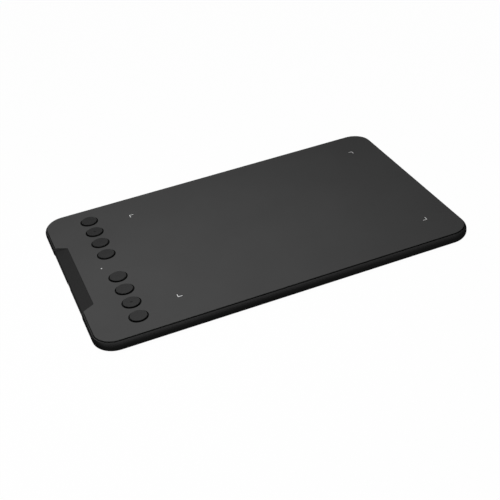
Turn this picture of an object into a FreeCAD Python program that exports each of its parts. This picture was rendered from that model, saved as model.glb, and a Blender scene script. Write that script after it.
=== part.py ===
import FreeCAD, Part
import os

# Graphics tablet: a shallow case with a drawing face on top, a column of eight press keys at the left end
# and a socket in the left side. Millimetres. X runs along the length, the user sits at -Y, +Z is up.
# The origin is the middle of the rectangle that the tablet covers on the desk, at desk height.

V = FreeCAD.Vector

# Outline, seen from above
body_length = 257.0
body_depth = 164.0
corner_radius = 14.8

# Case
foot_proud = 0.8             # how far the feet stand out of the underside
shell_height = 7.8           # underside to drawing face
floor_wall = 1.2
bullnose_radius = 3.9        # rounding of the side above its widest line
underside_radius = 3.0       # tighter rounding below it
crown_rise = 0.48            # how far above the face the side's curve would reach if it ran on inwards
rim_width = 1.5              # widest outline to the edge of the top panel
ledge_width = 1.45           # what the top panel's edge rests on

# Top panel
panel_thickness = 1.5
panel_gap = 0.35             # the dark seam round the panel
panel_edge = 0.3             # bevel along its upper edge
skirt_wall = 1.2
skirt_height = 1.4
skirt_gap = 0.15
hook_width = 6.0
hook_reach = 0.6             # out of the skirt, into a window in the case wall
hook_height = 0.55
hook_drop = 0.75             # catch face below the panel's underside
hook_gap = 0.15
hook_pitch = 70.0            # along the long sides
hooks_per_long_side = 3
hook_end_offset = 38.0       # the right end has two, this far from its middle

# Press keys: two groups of four in one column
keys_per_group = 4
key_column_inset = 31.4      # from the left end to the middle of the keys
key_end_margin = 17.05       # from the top panel's edge to the middle of the last key
key_group_gap = 30.3         # between the middles of the two keys nearest the light
key_radius = 5.6
key_hole_gap = 0.8
key_proud = 0.88
key_edge = 0.3               # bevel round its top
key_hollow = 7.2             # square hollow in its underside
key_top_wall = 1.0
key_stem = 2.4               # square stem that presses the switch
key_plate_spacing = 2.3      # between the square plates that hold neighbouring keys under the panel
key_plate_thickness = 0.8
key_guide_gap = 0.25
nub_radius = 0.65            # raised dot that the finger finds on the second key of each group
nub_rise = 0.12
nub_key_from_end = 1
rail_wall = 0.9              # rails each side of the key column, so that no key turns
rail_height = 1.25

# Key switches on the control board
switch_width = 5.2
switch_height = 1.0
switch_floor = 0.15
switch_well = 4.0
cover_thickness = 0.15
dome_length = 3.6
dome_crown = 1.0
dome_width = 2.4
dome_height = 0.5
dome_sheet = 0.1
plunger_width = 2.3
plunger_foot = 3.4           # wider foot that the cover keeps in
plunger_gap = 0.2
plunger_float = 0.05
plunger_proud = 0.5

# Circuit boards
board_thickness = 1.0
board_stand = 1.05           # control board above the case floor
board_left_gap = 0.4
board_right_inset = 44.5     # from the left end to the control board's right edge
board_end_margin = 3.55      # past the middle of the last key
board_boss_gap = 0.5
board_rail_wall = 1.2
board_rail_inset_left = 21.5     # rails on the case floor under the control board
board_rail_inset_right = 41.5
peg_width = 1.6
peg_gap = 0.1
peg_y_left = 46.0
peg_y_right = 24.0
sensor_left_inset = 48.5     # from the left end to the sensor board
sensor_right_inset = 10.5
sensor_side_inset = 19.5
adhesive_thickness = 0.1
bare_strip = 9.5             # left end of the sensor board, where its chips are
shield_thickness = 0.3
foam_thickness = 1.0
foam_border = 1.0

# Ribs on the case floor
rib_wall = 0.9
rib_pitch_x = 46.0
rib_pitch_y = 40.0

# Status light
light_inset = 24.1           # from the left end
light_radius = 0.45
light_hole_gap = 0.05
light_stem = 1.6
light_flange = 2.6
light_flange_thickness = 0.5
led_length = 1.6
led_width = 0.8
led_height = 0.6
led_gap = 0.1

# Dark insert at the left end
insert_inner_inset = 9.5     # from the left end to the insert's inner edge
insert_half_depth = 36.8     # at its inner edge
insert_flare = 0.59          # how much wider it gets per millimetre towards the end
insert_gap = 0.15
insert_step = 0.18           # its inner edge below the drawing face
insert_drop = 2.35           # its outer edge below its inner edge
insert_facet = 0.55          # its front below the widest outline
insert_brow = 0.6            # from its front to where the slope starts
insert_brow_radius = 0.5
insert_roof = 1.0
insert_wall = 1.2
clip_length = 12.0
clip_reach = 1.7
clip_thickness = 0.6
clip_centre = 24.0
clip_root = 1.5

# Socket
socket_width = 8.94
socket_height = 3.26
socket_length = 7.35
socket_wall = 0.3
socket_setback = 0.3         # its mouth behind the front of the insert
socket_gap = 0.15
socket_back = 1.2
tongue_width = 6.69
tongue_thickness = 0.7
tongue_setback = 0.9
wing_length = 1.6
wing_reach = 1.1
wing_thickness = 0.25
wing_spacing = 3.2

# Fasteners and feet
screw_radius = 0.8
screw_bore_gap = 0.05
screw_head_radius = 1.6
screw_head_height = 0.9
screw_length = 4.4
screw_head_gap = 0.3
screw_web = 1.0              # case floor that the head clamps
boss_wall = 1.35
case_boss_wall = 1.2         # round the screw head
foot_length = 32.0
foot_width = 9.0
foot_clip = 2.4              # corners cut off
foot_recess = 0.6
foot_gap = 0.1
foot_inset_x = 30.5
foot_inset_y = 14.0
foot_screw_offset = 10.5     # from the foot's middle towards the end of the tablet

# Parts on the boards
chip_size = 7.0
chip_height = 0.9
amplifier_length = 6.0
amplifier_width = 4.0
amplifier_height = 0.85
amplifier_pitch = 22.0
amplifier_count = 4
connector_length = 2.4
connector_width = 14.0
connector_height = 1.0
ribbon_width = 11.0
ribbon_thickness = 0.15
ribbon_straight = 1.4
crystal_length = 3.2
crystal_width = 2.5
crystal_height = 0.7
capacitor_length = 1.6
capacitor_width = 0.8
capacitor_height = 0.7
capacitor_pitch = 3.0
capacitor_count = 5

# Heights above the desk
z_case = foot_proud
z_floor = z_case + floor_wall
z_face = z_case + shell_height
z_panel = z_face - panel_thickness
z_crown = z_face + crown_rise
z_board = z_floor + board_stand
z_board_top = z_board + board_thickness
z_sensor_top = z_panel - adhesive_thickness
z_sensor = z_sensor_top - board_thickness
z_shield = z_sensor - shield_thickness
z_foam = z_shield - foam_thickness
z_switch_top = z_board_top + switch_height
z_cover_top = z_switch_top + cover_thickness
z_dome = z_board_top + switch_floor
z_plunger = z_dome + dome_height
z_plunger_top = z_cover_top + plunger_proud
z_key_plate = z_panel - key_plate_thickness
z_key_top = z_face + key_proud
z_socket = z_board + board_thickness / 2

# Places
left_end = -body_length / 2
right_end = body_length / 2
key_x = left_end + key_column_inset
light_x = left_end + light_inset
board_left = left_end + rim_width - panel_gap + ledge_width + board_left_gap
board_right = left_end + board_right_inset
sensor_left = left_end + sensor_left_inset
sensor_right = right_end - sensor_right_inset
sensor_half = body_depth / 2 - sensor_side_inset
insert_x = left_end + insert_inner_inset
insert_front = left_end + insert_facet
socket_mouth = insert_front + socket_setback
socket_end = socket_mouth + socket_length

# Sizes that follow from others
panel_length = body_length - 2 * rim_width
panel_depth = body_depth - 2 * rim_width
panel_corner = corner_radius - rim_width
seat_length = panel_length + 2 * panel_gap
seat_depth = panel_depth + 2 * panel_gap
cavity_length = seat_length - 2 * ledge_width
cavity_depth = seat_depth - 2 * ledge_width
cavity_corner = panel_corner + panel_gap - ledge_width
key_hole_radius = key_radius + key_hole_gap
key_span = panel_depth / 2 - key_end_margin
key_pitch = (key_span - key_group_gap / 2) / (keys_per_group - 1)
key_plate = key_pitch - key_plate_spacing
board_half_depth = key_span + board_end_margin
rail_inner = key_plate / 2 + key_guide_gap
pilot_radius = screw_radius + screw_bore_gap
head_bore_radius = screw_head_radius + screw_head_gap
panel_boss_half = pilot_radius + boss_wall
case_boss_half = head_bore_radius + case_boss_wall
z_screw_face = z_case + foot_recess + screw_head_height + screw_head_gap
z_boss_joint = z_screw_face + screw_web
well = 20.0                  # cutting tools reach this far past what they cut


def block(x0, x1, y0, y1, z0, z1):
    """Box between two corners."""
    return Part.makeBox(x1 - x0, y1 - y0, z1 - z0, V(x0, y0, z0))


def rod(x, y, radius, z0, z1):
    """Upright cylinder."""
    return Part.makeCylinder(radius, z1 - z0, V(x, y, z0))


def post(x, y, half, z0, z1):
    """Upright square post."""
    return block(x - half, x + half, y - half, y + half, z0, z1)


def fuse_all(solids):
    """One solid from several that touch or overlap."""
    return solids[0].multiFuse(solids[1:]).removeSplitter()


def edges_along(solid, direction):
    """Straight edges that run along a direction."""
    found = []
    for edge in solid.Edges:
        if isinstance(edge.Curve, Part.Line) and edge.Curve.Direction.cross(direction).Length < 1e-6:
            found.append(edge)
    return found


def rounded_block(length, depth, radius, z0, z1):
    """Upright block centred on the origin, with round corners seen from above."""
    slab = block(-length / 2, length / 2, -depth / 2, depth / 2, z0, z1)
    return slab.makeFillet(radius, edges_along(slab, V(0, 0, 1)))


def clipped_block(length, width, clip, z0, z1):
    """Upright block centred on the origin, its four corners cut off."""
    slab = block(-length / 2, length / 2, -width / 2, width / 2, z0, z1)
    return slab.makeChamfer(clip, edges_along(slab, V(0, 0, 1)))


def level_edges(solid, z):
    """Edges that lie wholly at one height."""
    return [edge for edge in solid.Edges if abs(edge.BoundBox.ZMin - z) + abs(edge.BoundBox.ZMax - z) < 1e-5]


def stadium(length, width, height):
    """Upright prism with half-round ends, centred on the origin, standing on z = 0."""
    r = width / 2
    s = length / 2 - r
    sides = [
        Part.LineSegment(V(s, r, 0), V(-s, r, 0)),
        Part.Arc(V(-s, r, 0), V(-s - r, 0, 0), V(-s, -r, 0)),
        Part.LineSegment(V(-s, -r, 0), V(s, -r, 0)),
        Part.Arc(V(s, -r, 0), V(s + r, 0, 0), V(s, r, 0)),
    ]
    wire = Part.Wire([side.toShape() for side in sides])
    return Part.Face(wire).extrude(V(0, 0, height))


def stadium_along_x(width, height, x0, x1, z):
    """The same prism lying along X, its long side level, centred on y = 0."""
    bar = stadium(width, height, x1 - x0)
    bar.Placement = FreeCAD.Placement(V(x0, 0, z), FreeCAD.Rotation(V(1, 1, 1), 120))
    return bar


def save(name, solids):
    """Write one node, which may be a group of equal pieces."""
    solids = solids if isinstance(solids, list) else [solids]
    for solid in solids:
        if not solid.isValid() or len(solid.Solids) != 1:
            raise ValueError(f"{name}: not one sound solid")
    shape = solids[0].Solids[0] if len(solids) == 1 else Part.makeCompound([s.Solids[0] for s in solids])
    shape.exportStep(f"parts/{name}.step")


def key_places():
    """Middles of the keys, from the back to the front."""
    half = [key_group_gap / 2 + key_pitch * i for i in range(keys_per_group)]
    ys = sorted(half + [-y for y in half], reverse=True)
    return [(key_x, y) for y in ys]


def foot_places():
    """Middles of the feet, by name."""
    x = body_length / 2 - foot_inset_x
    y = body_depth / 2 - foot_inset_y
    return {"left_front": (-x, -y), "left_back": (-x, y), "right_front": (x, -y), "right_back": (x, y)}


def case_screw_places():
    """One screw above the outer half of each left foot. Hooks hold the other sides of the panel."""
    feet = foot_places()
    return [(feet[name][0] - foot_screw_offset, feet[name][1]) for name in ("left_front", "left_back")]


def peg_places():
    """Four pegs of the case, two on each rail, that the control board drops over."""
    places = []
    for inset, y in ((board_rail_inset_left, peg_y_left), (board_rail_inset_right, peg_y_right)):
        places += [(left_end + inset, -y), (left_end + inset, y)]
    return places


# Case


def case_envelope():
    """The whole case as one pebble: round corners and a bullnose all the way round."""
    side = z_crown - z_case
    slab = rounded_block(body_length, body_depth, corner_radius, z_case, z_crown)
    slab = slab.makeFillet(min(bullnose_radius, 0.6 * side), level_edges(slab, z_crown))
    return slab.makeFillet(min(underside_radius, 0.39 * side), level_edges(slab, z_case))


def insert_bay(gap):
    """Prism that the dark insert fills, narrowed by a gap on the sides that meet the case."""
    slant = (1 + insert_flare ** 2) ** 0.5
    outer_x = left_end - well
    inner_x = insert_x - gap
    inner_y = insert_half_depth + insert_flare * gap - slant * gap
    outer_y = inner_y + insert_flare * (inner_x - outer_x)
    corners = [
        V(inner_x, -inner_y, z_floor),
        V(inner_x, inner_y, z_floor),
        V(outer_x, outer_y, z_floor),
        V(outer_x, -outer_y, z_floor),
    ]
    return Part.Face(Part.makePolygon(corners + corners[:1])).extrude(V(0, 0, well))


def socket_opening(x_inside):
    """Bar that leaves room for the socket, from outside the case to a place inside it."""
    return stadium_along_x(socket_width + 2 * socket_gap, socket_height + 2 * socket_gap,
                           left_end - well, x_inside, z_socket)


def floor_ribs():
    """Grid of ribs that carries the foam under the drawing area."""
    x0 = sensor_left + bare_strip + foam_border
    x1 = sensor_right - foam_border
    y1 = sensor_half - foam_border
    ribs = []
    columns = int((x1 - x0) / rib_pitch_x)
    rows = int(y1 / rib_pitch_y)
    middle = (x0 + x1) / 2
    for i in range(columns + 1):
        x = middle + rib_pitch_x * (i - columns / 2)
        ribs.append(block(x - rib_wall / 2, x + rib_wall / 2, -y1, y1, z_floor, z_foam))
    for i in range(-rows, rows + 1):
        y = rib_pitch_y * i
        ribs.append(block(x0, x1, y - rib_wall / 2, y + rib_wall / 2, z_floor, z_foam))
    return ribs


def board_supports():
    """Two rails on the floor under the control board, with the pegs that hold it."""
    supports = []
    half = board_rail_wall / 2
    for inset in (board_rail_inset_left, board_rail_inset_right):
        x = left_end + inset
        supports.append(block(x - half, x + half, -board_half_depth, board_half_depth, z_floor, z_board))
    for x, y in peg_places():
        supports.append(post(x, y, peg_width / 2, z_floor, z_board_top + peg_gap))
    return supports


def hook_places():
    """Direction that each hook points in, and its distance along that wall."""
    places = [(0, hook_end_offset), (0, -hook_end_offset)]
    for i in range(hooks_per_long_side):
        offset = hook_pitch * (i - (hooks_per_long_side - 1) / 2)
        places += [(90, offset), (-90, offset)]
    return places


def along_walls(make_piece):
    """Copies of a piece made for a wall that faces +X, turned to each hook's wall."""
    copies = []
    for angle, offset in hook_places():
        wall = cavity_length / 2 if angle == 0 else cavity_depth / 2
        piece = make_piece(wall, offset)
        piece.rotate(V(0, 0, 0), V(0, 0, 1), angle)
        copies.append(piece)
    return copies


def hook(wall, offset):
    """Wedge on the skirt: level catch face above, ramp below, rooted halfway into the skirt."""
    x0 = wall - skirt_gap - skirt_wall / 2
    x1 = wall - skirt_gap
    x2 = x1 + hook_reach
    z1 = z_panel - hook_drop
    z0 = z1 - hook_height
    corners = [V(x0, 0, z1), V(x2, 0, z1), V(x1, 0, z0), V(x0, 0, z0)]
    wedge = Part.Face(Part.makePolygon(corners + corners[:1])).extrude(V(0, hook_width, 0))
    wedge.translate(V(0, offset - hook_width / 2, 0))
    return wedge


def hook_window(wall, offset):
    """Room for a hook in the case wall, its roof level with the catch face."""
    half = hook_width / 2 + hook_gap
    z1 = z_panel - hook_drop
    z0 = z1 - hook_height - hook_gap
    reach = hook_reach - skirt_gap + hook_gap
    return block(wall - skirt_gap, wall + reach, offset - half, offset + half, z0, z1)


def make_lower_shell():
    shell = case_envelope()
    seat = rounded_block(seat_length, seat_depth, panel_corner + panel_gap, z_panel, z_crown + well)
    cavity = rounded_block(cavity_length, cavity_depth, cavity_corner, z_floor, z_crown + well)
    shell = shell.cut([seat, cavity, insert_bay(0)])
    added = floor_ribs() + board_supports()
    for x, y in case_screw_places():
        added.append(post(x, y, case_boss_half, z_floor, z_boss_joint))
    shell = fuse_all([shell] + added)
    removed = [socket_opening(socket_end + socket_gap)] + along_walls(hook_window)
    for x, y in foot_places().values():
        recess = clipped_block(foot_length + 2 * foot_gap, foot_width + 2 * foot_gap, foot_clip,
                               z_case - well, z_case + foot_recess)
        recess.translate(V(x, y, 0))
        removed.append(recess)
    for x, y in case_screw_places():
        removed.append(rod(x, y, head_bore_radius, z_case, z_screw_face))
        removed.append(rod(x, y, pilot_radius, z_case, z_boss_joint))
    return shell.cut(removed).removeSplitter()


def key_rails():
    """Rails under the panel, each side of each group of keys."""
    rails = []
    near = rail_inner
    far = rail_inner + rail_wall
    first = key_group_gap / 2 - rail_inner
    last = key_group_gap / 2 + key_pitch * (keys_per_group - 1) + rail_inner
    for side in (-1, 1):
        for group in (-1, 1):
            x0, x1 = sorted((key_x + side * near, key_x + side * far))
            y0, y1 = sorted((group * first, group * last))
            rails.append(block(x0, x1, y0, y1, z_panel - rail_height, z_panel))
    return rails


def panel_skirt():
    """Thin wall under the panel that stands inside the case wall, with its hooks."""
    z0 = z_panel - skirt_height
    inset = skirt_gap + skirt_wall
    outer = rounded_block(cavity_length - 2 * skirt_gap, cavity_depth - 2 * skirt_gap,
                          cavity_corner - skirt_gap, z0, z_panel)
    inner = rounded_block(cavity_length - 2 * inset, cavity_depth - 2 * inset,
                          cavity_corner - inset, z0, z_panel)
    return [outer.cut(inner)] + along_walls(hook)


def make_top_panel():
    panel = rounded_block(panel_length, panel_depth, panel_corner, z_panel, z_face)
    panel = panel.makeChamfer(panel_edge, level_edges(panel, z_face))
    added = panel_skirt() + key_rails()
    for x, y in case_screw_places():
        added.append(post(x, y, panel_boss_half, z_boss_joint, z_panel))
    panel = fuse_all([panel] + added)
    removed = [insert_bay(0), rod(light_x, 0, light_radius + light_hole_gap, z_panel, z_face)]
    for x, y in key_places():
        removed.append(rod(x, y, key_hole_radius, z_panel, z_face))
    z_pilot = z_screw_face + screw_length + screw_head_gap
    for x, y in case_screw_places():
        removed.append(rod(x, y, pilot_radius, z_boss_joint, z_pilot))
    return panel.cut(removed).removeSplitter()


def make_port_trim():
    """Sloped roof that turns down into a front wall, with the socket's opening and two clips."""
    z_inner = z_face - insert_step
    z_outer = z_inner - insert_drop
    inner_x = insert_x - insert_gap
    brow_x = insert_front + insert_brow
    inside_x = insert_front + insert_wall
    slope = insert_drop / (inner_x - brow_x)
    corners = [
        V(inner_x, 0, z_inner),
        V(brow_x, 0, z_outer),
        V(insert_front, 0, z_outer - insert_brow),
        V(insert_front, 0, z_floor),
        V(inside_x, 0, z_floor),
        V(inside_x, 0, z_outer + slope * (inside_x - brow_x) - insert_roof),
        V(inner_x, 0, z_inner - insert_roof),
    ]
    half = insert_half_depth + insert_flare * insert_inner_inset
    profile = Part.Face(Part.makePolygon(corners + corners[:1]))
    profile.translate(V(0, -half, 0))
    trim = profile.extrude(V(0, 2 * half, 0))
    brow = []
    for edge in edges_along(trim, V(0, 1, 0)):
        box = edge.BoundBox
        if box.XMax < brow_x + 1e-6 and box.ZMin > z_outer - insert_brow - 1e-6:
            brow.append(edge)
    trim = trim.makeFillet(insert_brow_radius, brow)
    trim = trim.common(insert_bay(insert_gap)).common(case_envelope())
    clips = []
    z_clip = z_panel - clip_thickness
    z_root = z_inner - insert_roof / 2
    for side in (-1, 1):
        y0 = side * clip_centre - clip_length / 2
        y1 = side * clip_centre + clip_length / 2
        clips.append(block(inner_x - clip_root, inner_x, y0, y1, z_clip, z_root))
        clips.append(block(inner_x, inner_x + clip_reach, y0, y1, z_clip, z_panel))
    trim = fuse_all([trim] + clips)
    return trim.cut(socket_opening(inside_x + insert_wall))


# Keys and their switches


def key_top_profile():
    """Half section about the Z axis of the round part of a key cap."""
    corners = [
        V(0, 0, z_key_top),
        V(key_radius - key_edge, 0, z_key_top),
        V(key_radius, 0, z_key_top - key_edge),
        V(key_radius, 0, z_panel),
        V(0, 0, z_panel),
    ]
    return Part.Face(Part.makePolygon(corners + corners[:1]))


def make_key_cap(x, y, with_nub):
    """Round cap on a square plate, hollow underneath round a square stem."""
    top = key_top_profile().revolve(V(0, 0, 0), V(0, 0, 1), 360)
    added = [post(0, 0, key_plate / 2, z_key_plate, z_panel)]
    if with_nub:
        added.append(rod(0, 0, nub_radius, z_key_top, z_key_top + nub_rise))
    cap = fuse_all([top] + added)
    z_hollow = z_key_top - key_top_wall
    cap = cap.cut(post(0, 0, key_hollow / 2, z_key_plate, z_hollow))
    cap = fuse_all([cap, post(0, 0, key_stem / 2, z_plunger_top, z_hollow)])
    cap.translate(V(x, y, 0))
    return cap


def make_switch_housing(x, y):
    housing = post(x, y, switch_width / 2, z_board_top, z_switch_top)
    return housing.cut(post(x, y, switch_well / 2, z_dome, z_switch_top))


def make_switch_cover(x, y):
    """Steel plate on the housing, with a square hole for the plunger."""
    cover = post(x, y, switch_width / 2, z_switch_top, z_cover_top)
    return cover.cut(post(x, y, plunger_width / 2 + plunger_gap, z_switch_top, z_cover_top))


def make_switch_plunger(x, y):
    foot_top = z_switch_top - plunger_float
    foot = post(x, y, plunger_foot / 2, z_plunger, foot_top)
    return fuse_all([foot, post(x, y, plunger_width / 2, foot_top, z_plunger_top)])


def make_switch_dome(x, y):
    """Snap spring: a thin bent strip with its ends on the housing and its crown under the plunger."""
    end = dome_length / 2
    crown = dome_crown / 2
    t = dome_sheet
    corners = [(-end, 0), (-crown, dome_height), (crown, dome_height), (end, 0), (end - 2 * t, 0),
               (crown - t, dome_height - t), (t - crown, dome_height - t), (2 * t - end, 0)]
    points = [V(x + across, y - dome_width / 2, z_dome + up) for across, up in corners]
    return Part.Face(Part.makePolygon(points + points[:1])).extrude(V(0, dome_width, 0))


# Status light


def make_light_pipe():
    z_led_top = z_board_top + led_height
    pipe = [
        rod(light_x, 0, light_radius, z_panel, z_face),
        post(light_x, 0, light_flange / 2, z_panel - light_flange_thickness, z_panel),
        post(light_x, 0, light_stem / 2, z_led_top + led_gap, z_panel - light_flange_thickness),
    ]
    return fuse_all(pipe)


def on_board(x, y, length, width, height):
    """Part that stands on the control board."""
    half = width / 2
    return block(x - length / 2, x + length / 2, y - half, y + half, z_board_top, z_board_top + height)


# Boards and what is on them


def make_control_board():
    board = block(board_left, board_right, -board_half_depth, board_half_depth, z_board, z_board_top)
    removed = []
    for x, y in case_screw_places():
        removed.append(post(x, y, case_boss_half + board_boss_gap, z_board, z_board_top))
    for x, y in peg_places():
        removed.append(post(x, y, peg_width / 2 + peg_gap, z_board, z_board_top))
    half = socket_width / 2 + socket_gap
    removed.append(block(left_end, socket_end + socket_gap, -half, half, z_board, z_board_top))
    return board.cut(removed)


def make_sensor_board():
    return block(sensor_left, sensor_right, -sensor_half, sensor_half, z_sensor, z_sensor_top)


def make_sensor_adhesive():
    return block(sensor_left, sensor_right, -sensor_half, sensor_half, z_sensor_top, z_panel)


def shield_sheet(border, z0, z1):
    """Sheet under the sensor board, clear of the strip that carries the chips."""
    x0 = sensor_left + bare_strip + border
    return block(x0, sensor_right - border, -sensor_half + border, sensor_half - border, z0, z1)


def make_amplifier_chips():
    x = sensor_left + (bare_strip + amplifier_width) / 2 - foam_border
    chips = []
    for i in range(amplifier_count):
        offset = i - (amplifier_count - 1) / 2
        y = amplifier_pitch * offset
        chips.append(block(x - amplifier_width / 2, x + amplifier_width / 2, y - amplifier_length / 2,
                           y + amplifier_length / 2, z_sensor - amplifier_height, z_sensor))
    return chips


def connector_edges():
    """Where the ribbon leaves the control board's connector and enters the sensor board's."""
    return board_right - foam_border, sensor_left + foam_border


def make_flex_connectors():
    start, end = connector_edges()
    half = connector_width / 2
    lower = block(start - connector_length, start, -half, half, z_board_top, z_board_top + connector_height)
    upper = block(end, end + connector_length, -half, half, z_sensor - connector_height, z_sensor)
    return [lower, upper]


def make_flex_cable():
    """Ribbon with one S bend, from connector to connector."""
    start, end = connector_edges()
    t = ribbon_thickness
    low = z_board_top + (connector_height - t) / 2
    high = z_sensor - (connector_height + t) / 2
    x1 = start + ribbon_straight
    x2 = end - ribbon_straight
    half = ribbon_width / 2
    under = [(start, low), (x1, low), (x2, high), (end, high)]
    over = [(x, z + t) for x, z in reversed(under)]
    points = [V(x, -half, z) for x, z in under + over]
    ribbon = Part.Face(Part.makePolygon(points + points[:1])).extrude(V(0, ribbon_width, 0))
    across = edges_along(ribbon, V(0, 1, 0))
    bends = [edge for edge in across if start < edge.BoundBox.Center.x < end]
    return ribbon.makeFillet(ribbon_straight / 2, bends)


def make_capacitors():
    x = socket_end + capacitor_pitch
    capacitors = []
    for i in range(capacitor_count):
        y = capacitor_pitch * (i - (capacitor_count - 1) / 2)
        capacitors.append(on_board(x, y, capacitor_length, capacitor_width, capacitor_height))
    return capacitors


def make_crystal():
    x = key_x
    y = chip_size
    return on_board(x, y, crystal_length, crystal_width, crystal_height)


# Socket


def make_socket_shell():
    shell = stadium_along_x(socket_width, socket_height, socket_mouth, socket_end, z_socket)
    inner = stadium_along_x(socket_width - 2 * socket_wall, socket_height - 2 * socket_wall,
                            socket_mouth, socket_end - socket_wall, z_socket)
    wings = []
    for side in (-1, 1):
        for step in (-1, 1):
            x = board_left + wing_spacing + step * wing_spacing / 2
            near = side * (socket_width / 2 - socket_wall)
            far = side * (socket_width / 2 + wing_reach)
            y0, y1 = sorted((near, far))
            wings.append(block(x - wing_length / 2, x + wing_length / 2, y0, y1,
                               z_board_top, z_board_top + wing_thickness))
    return fuse_all([shell] + wings).cut(inner)


def make_socket_tongue():
    z0 = z_socket - tongue_thickness / 2
    x_back = socket_end - socket_wall - socket_back
    half = tongue_width / 2
    tongue = block(socket_mouth + tongue_setback, x_back, -half, half, z0, z0 + tongue_thickness)
    base = stadium_along_x(socket_width - 2 * socket_wall, socket_height - 2 * socket_wall,
                           x_back, socket_end - socket_wall, z_socket)
    return fuse_all([tongue, base])


# Fasteners and feet


def make_case_screws():
    screws = []
    for x, y in case_screw_places():
        head = rod(x, y, screw_head_radius, z_screw_face - screw_head_height, z_screw_face)
        screws.append(fuse_all([head, rod(x, y, screw_radius, z_screw_face, z_screw_face + screw_length)]))
    return screws


def make_foot(x, y):
    foot = clipped_block(foot_length, foot_width, foot_clip, 0, foot_proud + foot_recess)
    foot.translate(V(x, y, 0))
    return foot


def main():
    os.makedirs("parts", exist_ok=True)
    save("lower_shell", make_lower_shell())
    save("top_panel", make_top_panel())
    save("port_trim", make_port_trim())
    save("light_pipe", make_light_pipe())
    save("status_led", on_board(light_x, 0, led_length, led_width, led_height))
    save("control_board", make_control_board())
    save("control_chip", on_board(key_x, 0, chip_size, chip_size, chip_height))
    save("crystal", make_crystal())
    save("board_capacitors", make_capacitors())
    save("sensor_board", make_sensor_board())
    save("sensor_adhesive", make_sensor_adhesive())
    save("shield_plate", shield_sheet(0, z_shield, z_sensor))
    save("foam_pad", shield_sheet(foam_border, z_foam, z_shield))
    save("amplifier_chips", make_amplifier_chips())
    save("flex_connectors", make_flex_connectors())
    save("flex_cable", make_flex_cable())
    save("usb_socket_shell", make_socket_shell())
    save("usb_socket_tongue", make_socket_tongue())
    save("case_screws", make_case_screws())
    save("switch_housings", [make_switch_housing(x, y) for x, y in key_places()])
    save("switch_covers", [make_switch_cover(x, y) for x, y in key_places()])
    for place, (x, y) in foot_places().items():
        save(f"foot_{place}", make_foot(x, y))
    places = key_places()
    nub_keys = (nub_key_from_end, len(places) - 1 - nub_key_from_end)
    for index, (x, y) in enumerate(places):
        number = index + 1
        save(f"key_cap_{number}", make_key_cap(x, y, index in nub_keys))
        save(f"switch_plunger_{number}", make_switch_plunger(x, y))
        save(f"switch_dome_{number}", make_switch_dome(x, y))


main()
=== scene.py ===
import math

import bmesh
import bpy
from mathutils import Matrix, Vector


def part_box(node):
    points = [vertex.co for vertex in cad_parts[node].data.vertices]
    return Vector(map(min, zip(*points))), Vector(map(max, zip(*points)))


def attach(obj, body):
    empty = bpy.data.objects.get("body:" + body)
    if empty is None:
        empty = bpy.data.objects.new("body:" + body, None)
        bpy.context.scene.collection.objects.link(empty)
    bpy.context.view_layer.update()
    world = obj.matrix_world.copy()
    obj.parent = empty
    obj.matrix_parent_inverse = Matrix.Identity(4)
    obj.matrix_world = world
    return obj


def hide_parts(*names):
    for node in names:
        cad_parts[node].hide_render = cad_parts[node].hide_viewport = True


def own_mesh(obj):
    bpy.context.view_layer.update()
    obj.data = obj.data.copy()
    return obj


# Graphics tablet: finishes for its case, drawing face, keys and inner parts, the finer pieces that show,
# and the studio round it. Metres. X runs along the tablet, the user sits at -Y, Z is up.

MM = 0.001
UM = 0.000001

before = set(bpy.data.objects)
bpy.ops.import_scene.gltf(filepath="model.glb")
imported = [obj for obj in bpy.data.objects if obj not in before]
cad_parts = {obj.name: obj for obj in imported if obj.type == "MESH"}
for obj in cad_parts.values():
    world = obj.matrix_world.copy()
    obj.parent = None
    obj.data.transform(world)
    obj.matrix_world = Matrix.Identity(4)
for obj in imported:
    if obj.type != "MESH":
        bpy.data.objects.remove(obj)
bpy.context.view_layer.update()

BODY = "tablet"
KEYS = 8
TACTILE_KEYS = (2, 7)            # keys with a nub to feel
KEY_TOP = 9.48 * MM
KEY_RIM = 0.3 * MM               # rounding between a key's top and its side
KEY_ROW_HALF = 63.45 * MM        # from the middle of the row to the centre of its last key
NUB_RADIUS = 0.75 * MM


# How light each dark plastic is

FACE_TONE = 0.038
FACE_CUT_SHADE_TONE = 0.0095           # bare plastic and painted shade of the panel's edge and key holes
CASE_TONE = 0.0235
# Painted shade low on the case's side wall
CASE_FOOT_SHADE_TONE = 0.0125
CASE_END_SHADE_TONE = 0.006            # painted shade on the side of the left end
# Painted light on the rim of the left end
CASE_END_RIM_LIGHT_TONE = 0.045
TRIM_TONE = 0.0132
# Painted shade on the insert's front wall
TRIM_FRONT_SHADE_TONE = 0.003
KEY_TONE = 0.018
# Painted shade on the keys' sides
KEY_SIDE_SHADE_TONE = 0.005
# Painted shade on the nubs
NUB_SHADE_TONE = 0.009

# Gains on these tones, as painted light and shade, at the case's right end, by its rim and foot, and at the
# ends of the row of keys

CASE_RIGHT_LIGHT_GAIN = 1.25
CASE_FOOT_RIGHT_LIGHT_GAIN = 1.8
KEY_FRONT_LIGHT_GAIN = 1.18
KEY_BACK_SHADE_GAIN = 0.84


# Shading


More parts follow.
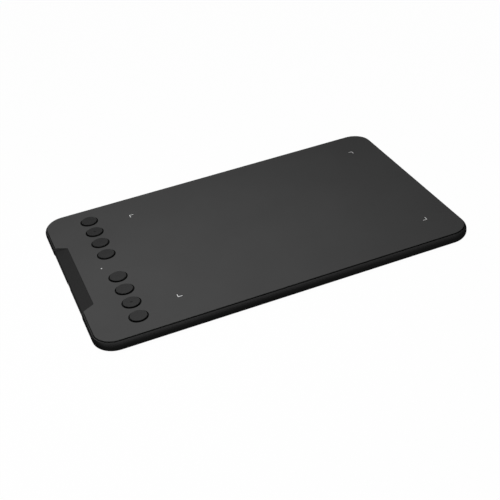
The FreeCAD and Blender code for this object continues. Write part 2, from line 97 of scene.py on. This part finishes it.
class Signal:
    """A value on its way through a node tree. Sums with it add the nodes that work them out."""

    def __init__(self, nodes, node, out):
        self.nodes = nodes
        self.node = node
        self.socket = node.outputs[out]

    def output(self, name):
        """Another output of the same node."""
        return Signal(self.nodes, self.node, name)

    def maths(self, operation, first, second):
        return self.nodes.add("ShaderNodeMath", {"operation": operation}, {0: first, 1: second})

    def __add__(self, other):
        return self.maths("ADD", self, other)

    def __radd__(self, other):
        return self.maths("ADD", other, self)

    def __sub__(self, other):
        return self.maths("SUBTRACT", self, other)

    def __rsub__(self, other):
        return self.maths("SUBTRACT", other, self)

    def __mul__(self, other):
        return self.maths("MULTIPLY", self, other)

    def __rmul__(self, other):
        return self.maths("MULTIPLY", other, self)

    def above(self, limit):
        return self.maths("GREATER_THAN", self, limit)

    def wrapped(self, length):
        return self.maths("MODULO", self, length)

    def largest(self, other):
        return self.maths("MAXIMUM", self, other)

    def between(self, start, end):
        """Spread a share, from 0 to 1, onto the range between two values."""
        return self * (end - start) + start


class Nodes:
    """The node tree of a material or of the room."""

    def __init__(self, tree):
        self.tree = tree

    def add(self, kind, settings, inputs, out=0):
        node = self.tree.nodes.new(kind)
        for name, value in settings.items():
            setattr(node, name, value)
        self.connect(node, inputs)
        return Signal(self, node, out)

    def connect(self, node, inputs):
        for name, value in inputs.items():
            if isinstance(value, Signal):
                self.tree.links.new(value.socket, node.inputs[name])
            else:
                node.inputs[name].default_value = value

    def blend(self, share, first, second):
        """Colour between two others. Inputs 6 and 7 and output 2 are the node's sockets for colour."""
        return self.add("ShaderNodeMix", {"data_type": "RGBA"}, {0: share, 6: first, 7: second}, 2)

    def scaled(self, colour, gain):
        """Colour made lighter or darker."""
        return self.add("ShaderNodeVectorMath", {"operation": "SCALE"}, {0: colour, "Scale": gain})

    def seen_directly(self):
        """1 for rays from the camera, in a reflection or through clear plastic, else 0."""
        camera_ray = self.add("ShaderNodeLightPath", {}, {}, "Is Camera Ray")
        reflected = camera_ray.output("Is Glossy Ray")
        passed = camera_ray.output("Is Transmission Ray")
        return camera_ray.largest(reflected).largest(passed)


class Finish(Nodes):
    """A material: its surface shader and the patterns that feed it, laid out in the piece's own space."""

    def __init__(self, name, roughness, specular):
        self.material = bpy.data.materials.new(name)
        self.material.use_nodes = True
        super().__init__(self.material.node_tree)
        self.shader = self.tree.nodes["Principled BSDF"]
        self.place = self.add("ShaderNodeTexCoord", {}, {}, "Object")
        self.along = self.add("ShaderNodeSeparateXYZ", {}, {0: self.place}, "X")
        self.across = self.along.output("Y")
        self.up = self.along.output("Z")
        self.roughness = roughness
        self.feed({"Roughness": roughness, "Specular IOR Level": specular})

    def feed(self, inputs):
        self.connect(self.shader, inputs)

    def paint(self, colour):
        """Set the base colour, and keep it for a later layer over it."""
        self.colour = colour
        self.feed({"Base Color": colour})

    def vary_roughness(self, pattern, spread):
        """Let a pattern, from 0 to 1, take the roughness this far to either side of its mean."""
        self.feed({"Roughness": pattern.between(self.roughness - spread, self.roughness + spread)})

    def noise(self, size, detail=2.0):
        """Soft random field whose blotches are about this long."""
        pattern = {"Vector": self.place, "Scale": 1 / size, "Detail": detail}
        return self.add("ShaderNodeTexNoise", {}, pattern)

    def cells(self, size):
        """Distance to the middle of the nearest grain."""
        return self.add("ShaderNodeTexVoronoi", {}, {"Vector": self.place, "Scale": 1 / size}, "Distance")

    def grade(self, place, low, high):
        """0 up to the lower of two places, rising to 1 at the higher."""
        return self.add("ShaderNodeMapRange", {}, {"Value": place, "From Min": low, "From Max": high})

    def relief(self, height, depth):
        return self.add("ShaderNodeBump", {}, {"Height": height, "Distance": depth, "Strength": 1.0})


def grey(value):
    return (value, value, value, 1.0)


def shades(colour, spread):
    """A colour a little darker and a little lighter."""
    dark = [c * (1 - spread) for c in colour[:3]] + [1.0]
    light = [c * (1 + spread) for c in colour[:3]] + [1.0]
    return dark, light


# Plastics that show

CLOUD_SIZE = 38 * MM
TONE_SPREAD = 0.16               # how far the tone strays either way, as a share of it
SHEEN_SPREAD = 0.08              # how far the roughness strays either way


def moulded_plastic(name, tone, roughness, specular, grain, depth):
    """Matt moulding: large faint clouds of tone and an eroded grain, in relief, that breaks its sheen."""
    finish = Finish(name, roughness, specular)
    clouds = finish.noise(CLOUD_SIZE, detail=3.0)
    pits = finish.noise(grain, detail=4.0)
    finish.paint(finish.blend(clouds * 0.5 + pits * 0.5, *shades(grey(tone), TONE_SPREAD)))
    finish.vary_roughness(pits, SHEEN_SPREAD)
    finish.feed({"Normal": finish.relief(pits, depth)})
    return finish


def shade_downwards(finish, colour, low, high):
    """Painted shade: turn a moulding to this colour from the higher level down to the lower one."""
    finish.paint(finish.blend(finish.grade(finish.up, low, high), colour, finish.colour))


# Recess that holds the end insert: where it ends inwards, half its length there, and how far each of its
# ends runs outwards per metre towards the left end of the tablet
BAY_INNER_X = -119.0 * MM
BAY_HALF_LENGTH = 36.8 * MM
BAY_FLARE = 0.59
BAY_MARGIN = 0.02 * MM           # by which the recess is taken larger, so that its own walls lie in it
INSERT_BROW = 6.2 * MM           # height of the insert's outer edge
BROW_DEPTH = 0.4 * MM            # over which the insert turns to painted shade


def outside_bay(finish):
    """0 on the walls of the end insert's recess above its brow, which take painted light, 1 elsewhere."""
    from_middle = finish.across.largest(finish.across * -1)
    reach = from_middle + (finish.along - BAY_INNER_X) * BAY_FLARE
    inwards = finish.along.above(BAY_INNER_X + BAY_MARGIN)
    beyond_ends = reach.above(BAY_HALF_LENGTH + BAY_MARGIN)
    under = 1 - finish.up.above(INSERT_BROW)
    return inwards.largest(beyond_ends).largest(under)


# Places between which the case turns from one tone to the next, for its painted light and shade
SIDE_LEVELS = (4.0 * MM, 8.0 * MM)
END_RIM_LEVELS = (7.4 * MM, 7.9 * MM)
RIGHTWARDS = (-20.0 * MM, 128.0 * MM)
LEFT_END = (-127.0 * MM, -123.0 * MM)


def case_shell():
    """Lower shell: painted light to the right, painted shade down its side wall and nearly black round the
    left end.
    """
    finish = moulded_plastic(
        "case_plastic", CASE_TONE, roughness=0.65, specular=0.003, grain=0.34 * MM, depth=10 * UM)
    # Painted light rising towards the right end
    rightwards = finish.grade(finish.along, *RIGHTWARDS)
    finish.paint(finish.scaled(finish.colour, rightwards.between(1, CASE_RIGHT_LIGHT_GAIN)))
    # Painted shade down the side wall, lifted by painted light towards the right end
    foot = finish.blend(rightwards, grey(CASE_FOOT_SHADE_TONE), grey(CASE_FOOT_SHADE_TONE * CASE_FOOT_RIGHT_LIGHT_GAIN))
    shade_downwards(finish, foot, *SIDE_LEVELS)
    # Round the left end: painted shade on the side below the rim, painted light on the rim
    inwards = finish.grade(finish.along, *LEFT_END)
    side = finish.blend(inwards, grey(CASE_END_SHADE_TONE), finish.colour)
    rim = finish.blend(inwards, grey(CASE_END_RIM_LIGHT_TONE), finish.colour)
    finish.paint(finish.blend(finish.grade(finish.up, *END_RIM_LEVELS), side, rim))
    # Painted light: the walls of the insert's recess, above its brow, as light as the face
    finish.paint(finish.blend(outside_bay(finish), grey(FACE_TONE), finish.colour))
    return finish


def end_insert():
    """Insert at the left end: its front wall, below the brow, nearly black with painted shade."""
    finish = moulded_plastic(
        "trim_plastic", TRIM_TONE, roughness=0.6, specular=0.015, grain=0.3 * MM, depth=8 * UM)
    shade_downwards(finish, grey(TRIM_FRONT_SHADE_TONE), INSERT_BROW - BROW_DEPTH, INSERT_BROW)
    return finish


# Heights between which a key turns from the painted shade of its side to its top
KEY_SIDE_LEVELS = (KEY_TOP - KEY_RIM - 0.05 * MM, KEY_TOP - KEY_RIM + 0.1 * MM)


def key_caps(name, nub):
    """Keys: grained tops with painted light to the front, on sides in painted shade. A nub, given by its
    place, is painted shade too.
    """
    finish = moulded_plastic(name, KEY_TONE, roughness=0.55, specular=0.015, grain=0.2 * MM, depth=5 * UM)
    # Painted light towards the front of the row of keys, painted shade towards the back
    backwards = finish.grade(finish.across, -KEY_ROW_HALF, KEY_ROW_HALF)
    finish.paint(finish.scaled(finish.colour, backwards.between(KEY_FRONT_LIGHT_GAIN, KEY_BACK_SHADE_GAIN)))
    if nub:
        # Painted shade on the nub
        way = {"X": finish.along - nub[0], "Y": finish.across - nub[1]}
        from_nub = finish.add("ShaderNodeCombineXYZ", {}, way)
        reach = finish.add("ShaderNodeVectorMath", {"operation": "LENGTH"}, {0: from_nub}, "Value")
        finish.paint(finish.blend(reach.above(NUB_RADIUS), grey(NUB_SHADE_TONE), finish.colour))
    # Painted shade on the key's side
    shade_downwards(finish, grey(KEY_SIDE_SHADE_TONE), *KEY_SIDE_LEVELS)
    return finish


CUT_SHADE_DEPTH = 0.08 * MM           # how far below the face the painted shade of its cut edge begins
CUT_SHADE_FEATHER = 0.05 * MM         # height over which that painted shade fades in


def drawing_surface():
    """Top panel: finest grain, a faint tooth the pen feels, and edges and key holes dark as bare plastic
    and painted shade.
    """
    finish = moulded_plastic(
        "drawing_face", FACE_TONE, roughness=0.6, specular=0.01, grain=0.22 * MM, depth=6 * UM)
    tooth = finish.cells(0.16 * MM)
    sweep = finish.noise(90 * MM, detail=1.0)
    finish.vary_roughness(tooth * 0.6 + sweep * 0.4, spread=0.1)
    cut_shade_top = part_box("top_panel")[1].z - CUT_SHADE_DEPTH
    # No painted shade on the recess walls, which keep the face's tone as painted light
    cut_shade = finish.blend(outside_bay(finish), grey(FACE_TONE), grey(FACE_CUT_SHADE_TONE))
    shade_downwards(finish, cut_shade, cut_shade_top - CUT_SHADE_FEATHER, cut_shade_top)
    return finish


def printed_ink():
    """Light grey ink of the corner marks, thin enough to show some of the grain."""
    finish = Finish("mark_ink", roughness=0.6, specular=0.3)
    speckle = finish.noise(0.15 * MM, detail=3.0)
    finish.feed({
        "Base Color": finish.blend(speckle, grey(0.56), grey(0.7)),
        "Normal": finish.relief(speckle, depth=3 * UM),
    })
    finish.vary_roughness(speckle, spread=0.1)
    return finish


def milky_light():
    """Light pipe: resin clouded enough to spread the lamp under it."""
    finish = Finish("light_pipe", roughness=0.31, specular=0.5)
    cloud = finish.noise(0.4 * MM, detail=3.0)
    finish.feed({
        "Base Color": finish.blend(cloud, grey(0.4), grey(0.52)),
        "Normal": finish.relief(cloud, depth=3 * UM),
    })
    finish.vary_roughness(cloud, spread=0.05)
    return finish


# Feet and inner parts


def rubber():
    """Feet: dull, with a fine dusty mottle."""
    finish = Finish("foot_rubber", roughness=0.8, specular=0.2)
    dust = finish.noise(1.1 * MM, detail=5.0)
    finish.feed({
        "Base Color": finish.blend(dust, grey(0.012), grey(0.034)),
        "Normal": finish.relief(finish.noise(0.3 * MM), depth=12 * UM),
    })
    finish.vary_roughness(dust, spread=0.1)
    return finish


METAL_TONE_SPREAD = 0.12
METAL_SHEEN_SPREAD = 0.11
SCRATCH_SLOWING = 0.06           # how fast the pattern of lines changes along X, against across it


def metal(name, colour, roughness, scratch):
    """Rolled or plated metal with fine lines along X."""
    finish = Finish(name, roughness, specular=0.5)
    slowed = {"X": finish.along * SCRATCH_SLOWING, "Y": finish.across, "Z": finish.up}
    stretched = finish.add("ShaderNodeCombineXYZ", {}, slowed)
    lines = finish.add("ShaderNodeTexNoise", {}, {"Vector": stretched, "Scale": 1 / scratch, "Detail": 3.0})
    finish.feed({
        "Base Color": finish.blend(lines, *shades(colour, METAL_TONE_SPREAD)),
        "Metallic": 1.0,
        "Normal": finish.relief(lines, depth=2 * UM),
    })
    finish.vary_roughness(lines, METAL_SHEEN_SPREAD)
    return finish


PAST_THE_BOARD = 1.0             # in metres, moves the whole board to the positive side
MASK_GREEN = (0.006, 0.045, 0.022, 1)
MASK_OVER_COPPER = (0.014, 0.11, 0.05, 1)


def copper_runs(place, pitch, clear):
    """1 on the copper of runs this far apart, 0 on the clear stretch between two."""
    return (place + PAST_THE_BOARD).wrapped(pitch).above(clear)


def circuit_laminate():
    """Green solder mask over a grid of copper runs."""
    finish = Finish("circuit_board", roughness=0.355, specular=0.5)
    lengthwise = copper_runs(finish.along, pitch=2.2 * MM, clear=1.8 * MM)
    crosswise = copper_runs(finish.across, pitch=3.1 * MM, clear=2.8 * MM)
    copper = lengthwise.largest(crosswise)
    weave = finish.noise(0.7 * MM, detail=3.0)
    finish.feed({
        "Base Color": finish.blend(copper * 0.8 + weave * 0.2, MASK_GREEN, MASK_OVER_COPPER),
        "Normal": finish.relief(copper, depth=30 * UM),
    })
    finish.vary_roughness(weave, spread=0.075)
    return finish


def moulded_resin(name, colour):
    """Body of a chip, connector or switch: dense resin with a fine sparkle."""
    finish = Finish(name, roughness=0.5, specular=0.4)
    filler = finish.noise(0.12 * MM, detail=4.0)
    finish.feed({
        "Base Color": finish.blend(filler, *shades(colour, 0.25)),
        "Normal": finish.relief(filler, depth=4 * UM),
    })
    finish.vary_roughness(filler, spread=0.15)
    return finish


def open_foam():
    """Pad under the sensor board: dark, with open pores."""
    finish = Finish("foam", roughness=0.93, specular=0.1)
    pores = finish.cells(0.5 * MM)
    finish.feed({
        "Base Color": finish.blend(pores, grey(0.008), grey(0.05)),
        "Normal": finish.relief(pores, depth=120 * UM),
    })
    finish.vary_roughness(pores, spread=0.05)
    return finish


def film(name, colour, ripple):
    """Thin plastic film or tape with a slight ripple."""
    finish = Finish(name, roughness=0.28, specular=0.5)
    waves = finish.noise(ripple, detail=2.0)
    finish.feed({
        "Base Color": finish.blend(waves, *shades(colour, 0.1)),
        "Normal": finish.relief(waves, depth=8 * UM),
    })
    finish.vary_roughness(waves, spread=0.1)
    return finish


# Finish for each material slot
FINISHES = {
    "case_plastic": case_shell(),
    "panel_plastic": drawing_surface(),
    "trim_plastic": end_insert(),
    "key_plastic": key_caps("key_plastic", None),
    "light_pipe": milky_light(),
    "chip_package": moulded_resin("chip_package", grey(0.02)),
    "circuit_board": circuit_laminate(),
    "steel_can": metal("steel_can", grey(0.55), roughness=0.32, scratch=0.2 * MM),
    "adhesive": film("adhesive", (0.55, 0.53, 0.48, 1), ripple=6 * MM),
    "shield_sheet": metal("shield_sheet", grey(0.7), roughness=0.3, scratch=0.5 * MM),
    "foam": open_foam(),
    "connector_plastic": moulded_resin("connector_plastic", (0.62, 0.58, 0.5, 1)),
    "ribbon_film": film("ribbon_film", (0.36, 0.13, 0.02, 1), ripple=4 * MM),
    "socket_steel": metal("socket_steel", grey(0.32), roughness=0.38, scratch=0.15 * MM),
    "screw_steel": metal("screw_steel", grey(0.12), roughness=0.4, scratch=0.1 * MM),
    "switch_steel": metal("switch_steel", grey(0.6), roughness=0.28, scratch=0.15 * MM),
    "foot_rubber": rubber(),
}
INK = printed_ink()
GOLD = metal("contact_gold", (0.83, 0.6, 0.25, 1), roughness=0.25, scratch=0.1 * MM)


def dress_cad_nodes():
    """Each carried-over node takes the finish of its own material slot."""
    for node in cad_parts.values():
        for holder in node.material_slots:
            holder.material = FINISHES[holder.material.name].material


# Making pieces

SMOOTH_UP_TO = math.radians(34)


def finish_piece(name, maker, finish, body):
    """Object from a filled bmesh, smooth except at its hard edges, riding on a body."""
    bmesh.ops.recalc_face_normals(maker, faces=maker.faces)
    mesh = bpy.data.meshes.new(name)
    maker.to_mesh(mesh)
    maker.free()
    mesh.shade_smooth()
    mesh.set_sharp_from_angle(angle=SMOOTH_UP_TO)
    mesh.materials.append(finish.material)
    piece = bpy.data.objects.new(name, mesh)
    bpy.context.scene.collection.objects.link(piece)
    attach(piece, body)
    return piece


LOOP_POINTS = 64


def add_loop(maker, middle, half, z, square=False):
    """Ring of points round an upright axis, on a circle or on a square of that half width."""
    loop = []
    for i in range(LOOP_POINTS):
        turn = 2 * math.pi * i / LOOP_POINTS
        across, along = math.cos(turn), math.sin(turn)
        reach = half / max(abs(across), abs(along)) if square else half
        loop.append(maker.verts.new((middle[0] + reach * across, middle[1] + reach * along, z)))
    return loop


def skin_loops(maker, loops):
    """Side faces between each ring and the next."""
    for lower, upper in zip(loops, loops[1:]):
        for i in range(len(lower)):
            j = (i + 1) % len(lower)
            maker.faces.new((lower[i], lower[j], upper[j], upper[i]))


def close_loop(maker, loop, middle, z):
    """Fan of faces from a ring to a point on its axis."""
    tip = maker.verts.new((middle[0], middle[1], z))
    for i in range(len(loop)):
        maker.faces.new((loop[i], loop[(i + 1) % len(loop)], tip))


# Keys

KEY_RADIUS = 5.5 * MM
KEY_DISH = 0.14 * MM             # how far the middle of the top lies below its rim
KEY_SKIRT = 7.1 * MM             # underside of the top panel, where the square plate begins
KEY_PLATE_UNDERSIDE = 6.3 * MM
KEY_HOLLOW_HALF = 3.6 * MM
KEY_STEM_HALF = 1.2 * MM
KEY_TOP_WALL = 1.0 * MM
NUB_RISE = 0.22 * MM
NUB_CROWN_POWER = 0.8
NUB_FLARE = 1.15                 # how far the dish keeps off the nub, against the nub's radius
RIM_STEPS = 6
DISH_STEPS = 7
NUB_STEPS = 5


def key_profile(tactile):
    """Radius and height of each ring from the middle of the top, out and down to the square plate."""
    flat = KEY_RADIUS - KEY_RIM
    rings = []
    if tactile:
        for i in range(1, NUB_STEPS + 1):
            share = i / NUB_STEPS
            crown = math.cos(share * math.pi / 2) ** NUB_CROWN_POWER
            rings.append((NUB_RADIUS * share, KEY_TOP - KEY_DISH + NUB_RISE * crown))
    for i in range(1, DISH_STEPS + 1):
        share = i / DISH_STEPS
        if share * flat > NUB_RADIUS * NUB_FLARE:
            rings.append((flat * share, KEY_TOP - KEY_DISH * (1 - share ** 2)))
    for i in range(1, RIM_STEPS + 1):
        turn = math.pi / 2 * i / RIM_STEPS
        rings.append((flat + KEY_RIM * math.sin(turn), KEY_TOP - KEY_RIM * (1 - math.cos(turn))))
    rings.append((KEY_RADIUS, KEY_SKIRT))
    return rings


def make_key(number):
    """Round cap with a shallow dish and a rounded rim, on the square plate that holds it in the panel."""
    node = f"key_cap_{number}"
    low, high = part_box(node)
    middle = ((low.x + high.x) / 2, (low.y + high.y) / 2)
    plate_half = (high.x - low.x) / 2
    plunger_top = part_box(f"switch_plunger_{number}")[1].z
    tactile = number in TACTILE_KEYS
    maker = bmesh.new()
    loops = [add_loop(maker, middle, radius, z) for radius, z in key_profile(tactile)]
    z_hollow = KEY_TOP - KEY_TOP_WALL
    for half, z in (
        (plate_half, KEY_SKIRT),
        (plate_half, KEY_PLATE_UNDERSIDE),
        (KEY_HOLLOW_HALF, KEY_PLATE_UNDERSIDE),
        (KEY_HOLLOW_HALF, z_hollow),
        (KEY_STEM_HALF, z_hollow),
        (KEY_STEM_HALF, plunger_top),
    ):
        loops.append(add_loop(maker, middle, half, z, square=True))
    skin_loops(maker, loops)
    close_loop(maker, loops[0], middle, KEY_TOP - KEY_DISH + (NUB_RISE if tactile else 0))
    close_loop(maker, loops[-1], middle, plunger_top)
    finish = key_caps(f"tactile_key_{number}", middle) if tactile else FINISHES["key_plastic"]
    key = finish_piece(f"press_key_{number}", maker, finish, f"key_{number}")
    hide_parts(node)


# Snap domes of the key switches

DOME_SHEET = 0.1 * MM
DOME_CLEARANCE = 0.01 * MM
DOME_CAMBER = 0.12               # share of its height that a dome loses at its long edges
DOME_CROWN_POWER = 0.7
DOME_STEPS = 24
DOME_LANES = 6


def make_snap_dome(number):
    """Sprung strip under its plunger, arched along X and cambered across."""
    node = f"switch_dome_{number}"
    low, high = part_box(node)
    height = high.z - low.z
    rise = height - DOME_SHEET - DOME_CLEARANCE
    lanes = [2 * k / (DOME_LANES - 1) - 1 for k in range(DOME_LANES)]
    maker = bmesh.new()
    loops = []
    for i in range(DOME_STEPS + 1):
        along = 2 * i / DOME_STEPS - 1
        arch = (0.5 + 0.5 * math.cos(math.pi * along)) ** DOME_CROWN_POWER
        x = (low.x + high.x) / 2 + along * (high.x - low.x) / 2
        edge = []
        for lift, order in ((0, lanes), (DOME_SHEET, lanes[::-1])):
            for across in order:
                y = (low.y + high.y) / 2 + across * (high.y - low.y) / 2
                z = low.z + rise * arch * (1 - DOME_CAMBER * across ** 2) + lift
                edge.append(maker.verts.new((x, y, z)))
        loops.append(edge)
    skin_loops(maker, loops)
    maker.faces.new(loops[0])
    maker.faces.new(loops[-1])
    dome = finish_piece(f"snap_dome_{number}", maker, FINISHES["switch_steel"], BODY)
    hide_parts(node)
    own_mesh(dome)


# Corner marks of the drawing area

MARK_LEFT = -69.2 * MM
MARK_RIGHT = 107.3 * MM
MARK_HALF_DEPTH = 56.55 * MM
MARK_ARM = 2.95 * MM
MARK_LINE = 0.33 * MM
INK_THICKNESS = 0.012 * MM


def make_corner_mark(name, x, y):
    """Printed bracket: two arms from the corner towards the middle of the drawing area."""
    inward_x = 1 if x < 0 else -1
    inward_y = 1 if y < 0 else -1
    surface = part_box("top_panel")[1].z
    outline = [(0, 0), (MARK_ARM, 0), (MARK_ARM, MARK_LINE), (MARK_LINE, MARK_LINE),
               (MARK_LINE, MARK_ARM), (0, MARK_ARM)]
    maker = bmesh.new()
    loops = []
    for z in (surface, surface + INK_THICKNESS):
        loops.append([maker.verts.new((x + inward_x * u, y + inward_y * v, z)) for u, v in outline])
        maker.faces.new(loops[-1])
    skin_loops(maker, loops)
    finish_piece(name, maker, INK, BODY)


def make_corner_marks():
    for side, x in (("left", MARK_LEFT), ("right", MARK_RIGHT)):
        for end, y in (("front", -MARK_HALF_DEPTH), ("back", MARK_HALF_DEPTH)):
            make_corner_mark(f"corner_mark_{side}_{end}", x, y)


# Contacts on the socket's tongue

CONTACTS = 12
CONTACT_PITCH = 0.5 * MM
CONTACT_WIDTH = 0.28 * MM
CONTACT_LENGTH = 3.2 * MM
CONTACT_RISE = 0.03 * MM
CONTACT_SETBACK = 0.45 * MM
TONGUE_THICKNESS = 0.7 * MM
BAR_EASE = 0.3                   # how far a bar's edges are rounded, as a share of its thickness


def add_bar(maker, low, high):
    """Box between two corners, its edges eased."""
    size = high - low
    place = Matrix.Translation((low + high) / 2) @ Matrix.Diagonal((*size, 1))
    made = bmesh.ops.create_cube(maker, size=1, matrix=place)
    edges = {edge for vert in made["verts"] for edge in vert.link_edges}
    bmesh.ops.bevel(maker, geom=list(edges), offset=min(size) * BAR_EASE, segments=2, affect="EDGES")


def make_contacts():
    """Two rows of plated strips, above and below the tongue."""
    low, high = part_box("usb_socket_tongue")
    x = low.x + CONTACT_SETBACK
    half = CONTACT_WIDTH / 2
    maker = bmesh.new()
    for side in (-1, 1):
        z = (low.z + high.z) / 2 + side * (TONGUE_THICKNESS + CONTACT_RISE) / 2
        for i in range(CONTACTS):
            y = CONTACT_PITCH * (i - (CONTACTS - 1) / 2)
            near = Vector((x, y - half, z - CONTACT_RISE))
            add_bar(maker, near, Vector((x + CONTACT_LENGTH, y + half, z + CONTACT_RISE)))
    finish_piece("socket_contacts", maker, GOLD, BODY)


FEET = ("left_front", "left_back", "right_front", "right_back")
FOOT_EDGE = 0.3 * MM
FOOT_EDGE_STEPS = 3
FOOT_SHARP_ABOVE = math.radians(40)


def soften_feet():
    """Rounded edges on the rubber feet."""
    for place in FEET:
        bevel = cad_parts[f"foot_{place}"].modifiers.new("soft_edges", "BEVEL")
        bevel.width = FOOT_EDGE
        bevel.segments = FOOT_EDGE_STEPS
        bevel.limit_method = "ANGLE"
        bevel.angle_limit = FOOT_SHARP_ABOVE


# Studio

CAMERA_AZIMUTH = math.radians(-17.60)
CAMERA_ELEVATION = math.radians(33.03)
CAMERA_ROLL = math.radians(-7.18)
CAMERA_DISTANCE = 0.6674
CAMERA_TARGET = Vector((-10.37, -30.37, 8.83)) * MM
CAMERA_LENS = 72.85
CAMERA_NEAREST = 0.01
ROOM_LIGHT = 0.05
FLOOR_GLOW = 0.985
FLOOR_SIZE = 6.0
FLOOR_DARKEST = 0.44
FLOOR_LIGHTEST = 0.46
FLOOR_CLOUD_SIZE = 0.4


def make_camera():
    azimuth, elevation, roll = CAMERA_AZIMUTH, CAMERA_ELEVATION, CAMERA_ROLL
    level = Vector((math.cos(azimuth), math.sin(azimuth), 0))
    outward = Vector((math.sin(azimuth), -math.cos(azimuth), 0))
    back = outward * math.cos(elevation) + Vector((0, 0, math.sin(elevation)))
    upright = back.cross(level)
    right = math.cos(roll) * level + math.sin(roll) * upright
    up = math.cos(roll) * upright - math.sin(roll) * level
    lens = bpy.data.cameras.new("camera")
    lens.lens = CAMERA_LENS
    lens.clip_start = CAMERA_NEAREST
    camera = bpy.data.objects.new("camera", lens)
    turn = Matrix((right, up, back)).transposed().to_4x4()
    camera.matrix_world = Matrix.Translation(CAMERA_TARGET + back * CAMERA_DISTANCE) @ turn
    bpy.context.scene.collection.objects.link(camera)
    bpy.context.scene.camera = camera


def make_lamp(name, place, target, size, power):
    light = bpy.data.lights.new(name, "AREA")
    light.shape = "SQUARE"
    light.size = size
    light.energy = power
    lamp = bpy.data.objects.new(name, light)
    lamp.location = place
    lamp.rotation_mode = "QUATERNION"
    lamp.rotation_quaternion = (Vector(target) - Vector(place)).to_track_quat("-Z", "Y")
    bpy.context.scene.collection.objects.link(lamp)


def make_room():
    """White surroundings as the camera sees them, dim as a light."""
    world = bpy.data.worlds.new("room")
    world.use_nodes = True
    nodes = Nodes(world.node_tree)
    strength = nodes.seen_directly().between(ROOM_LIGHT, 1)
    nodes.connect(nodes.tree.nodes["Background"], {"Color": grey(1.0), "Strength": strength})
    bpy.context.scene.world = world


def floor_paint():
    """Pale paint, nearly white where it is seen, that still darkens in the tablet's shadow."""
    finish = Finish("floor_paint", roughness=0.9, specular=0.0)
    clouds = finish.noise(FLOOR_CLOUD_SIZE)
    finish.paint(finish.blend(clouds, grey(FLOOR_DARKEST), grey(FLOOR_LIGHTEST)))
    paint = Signal(finish, finish.shader, 0)
    glow = finish.add("ShaderNodeEmission", {}, {"Color": grey(1.0)})
    share = finish.seen_directly() * FLOOR_GLOW
    mixed = finish.add("ShaderNodeMixShader", {}, {0: share, 1: paint, 2: glow})
    finish.connect(finish.tree.nodes["Material Output"], {"Surface": mixed})
    return finish


def make_floor():
    maker = bmesh.new()
    bmesh.ops.create_grid(maker, x_segments=1, y_segments=1, size=FLOOR_SIZE / 2)
    mesh = bpy.data.meshes.new("floor")
    maker.to_mesh(mesh)
    maker.free()
    mesh.materials.append(floor_paint().material)
    floor = bpy.data.objects.new("floor", mesh)
    bpy.context.scene.collection.objects.link(floor)


def make_studio():
    make_camera()
    make_room()
    make_floor()
    make_lamp("near_lamp", place=(-0.13, -0.065, 0.35), target=(-0.1, 0, 0), size=0.2, power=1.92)
    make_lamp("high_lamp", place=(0, 0, 1.1), target=(0, 0, 0), size=0.5, power=1.8)
    bpy.context.scene.view_settings.view_transform = "Standard"


dress_cad_nodes()
for key_number in range(1, KEYS + 1):
    make_key(key_number)
    make_snap_dome(key_number)
make_corner_marks()
make_contacts()
soften_feet()
make_studio()

bpy.context.view_layer.update()
